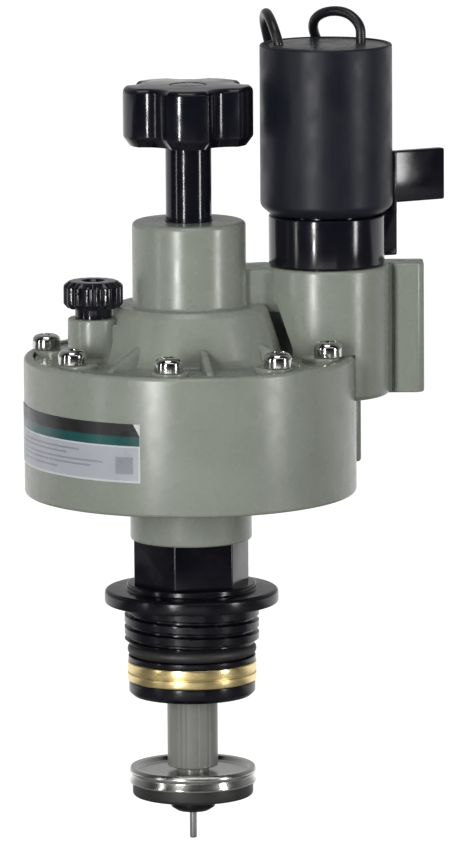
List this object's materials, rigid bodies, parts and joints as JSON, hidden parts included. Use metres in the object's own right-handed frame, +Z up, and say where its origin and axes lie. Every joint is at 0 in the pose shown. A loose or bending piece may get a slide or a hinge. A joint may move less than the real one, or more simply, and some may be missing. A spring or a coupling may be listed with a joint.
{
  "type": "solenoid valve actuator head",
  "caption": "Diaphragm actuator head for an irrigation valve: solenoid with flying leads, manual bleed lever and screw, flow control handle, threaded adapter and sliding seat stem.",
  "frame": {"origin": "on the main axis, in the plane of the flange's underside, where the thread begins", "axes": "+Z up along the main axis from the seat washer to the handle; +X towards the solenoid's side; +Y to the back"},
  "size_m": [0.1046, 0.0818, 0.205],
  "materials": {
    "housing_plastic": "satin moulded, grey-green",
    "adapter_plastic": "moulded, satin black",
    "gloss_black": "polished black",
    "coil_black": "satin blue-black overmould",
    "stem_plastic": "satin grey",
    "brass": "turned",
    "bright_steel": "bright, zinc plated",
    "grey_steel": "drawn stainless",
    "black_rubber": "moulded",
    "bobbin_plastic": "natural nylon",
    "copper_wire": "enamelled copper",
    "label_film": "printed film",
    "wire_insulation": "black insulation"
  },
  "bodies": {
    "housing": {"drum": "housing_plastic", "cover": "housing_plastic", "adapter": "adapter_plastic", "adapter_o_ring": "black_rubber", "brass_ring": "brass", "lip_ring": "adapter_plastic", "stem_o_rings": "black_rubber", "cover_screws": "bright_steel", "stem_insert": "brass", "solenoid_base": "gloss_black", "solenoid_o_ring": "black_rubber", "core_tube": "grey_steel", "pole_piece": "grey_steel", "seat_nozzle": "brass", "solenoid_shell": "coil_black", "coil_potting": "coil_black", "coil_bobbin": "bobbin_plastic", "coil_winding": "copper_wire", "flux_sleeve": "grey_steel", "flux_washer": "grey_steel", "label": "label_film", "lead_left": "wire_insulation", "lead_right": "wire_insulation", "lead_left_hank": "wire_insulation", "lead_right_hank": "wire_insulation", "plunger_spring": "grey_steel", "closing_spring": "grey_steel", "diaphragm": "black_rubber"},
    "valve": {"valve_stem": "stem_plastic", "diaphragm_lower_plate": "bright_steel", "diaphragm_upper_plate": "bright_steel", "diaphragm_nut": "bright_steel", "washer_cup": "bright_steel", "seat_washer": "black_rubber", "washer_nut": "adapter_plastic"},
    "pin": {"metering_pin": "grey_steel"},
    "thrust": {"thrust_button": "stem_plastic"},
    "handle": {"flow_spindle": "gloss_black", "flow_handle": "gloss_black", "handle_screw": "bright_steel", "spindle_o_ring": "black_rubber"},
    "bleed_tip": {"bleed_seal": "black_rubber"},
    "bleed_knob": {"bleed_screw": "gloss_black", "bleed_o_ring": "black_rubber"},
    "lever": {"bleed_lever": "gloss_black"},
    "armature": {"plunger": "grey_steel", "plunger_seal": "black_rubber"}
  },
  "joints": [
    {"name": "valve_lift", "type": "slide", "parent": "housing", "child": "valve", "axis": [0, 0, 1], "range_m": [0, 0.01], "stiffness_N_per_m": 900, "springref_m": -0.006, "deforming": ["closing_spring", "diaphragm"]},
    {"name": "pin_float", "type": "slide", "parent": "valve", "child": "pin", "axis": [0, 0, 1], "range_m": [0, 0.003]},
    {"name": "flow_travel", "type": "slide", "parent": "housing", "child": "thrust", "axis": [0, 0, 1], "range_m": [-0.01, 0]},
    {"name": "handle_turn", "type": "hinge", "parent": "thrust", "child": "handle", "pos_m": [0, 0, 0.12], "axis": [0, 0, 1], "range_deg": [-1800, 0]},
    {"name": "bleed_travel", "type": "slide", "parent": "housing", "child": "bleed_tip", "axis": [0, 0, 1], "range_m": [0, 0.0025]},
    {"name": "bleed_turn", "type": "hinge", "parent": "bleed_tip", "child": "bleed_knob", "pos_m": [-0.02353, -0.00608, 0.075], "axis": [0, 0, 1], "range_deg": [0, 720]},
    {"name": "lever_turn", "type": "hinge", "parent": "housing", "child": "lever", "pos_m": [0.03388, 0.00876, 0.09], "axis": [0, 0, 1], "range_deg": [-75, 0]},
    {"name": "plunger_lift", "type": "slide", "parent": "housing", "child": "armature", "axis": [0, 0, 1], "range_m": [0, 0.0025], "stiffness_N_per_m": 200, "springref_m": -0.002, "deforming": ["plunger_spring"]}
  ],
  "couplings": [
    {"joint": "flow_travel", "follows": "handle_turn", "m_per_rad": 0.00031831},
    {"joint": "bleed_travel", "follows": "bleed_turn", "m_per_rad": 0.00019894}
  ]
}
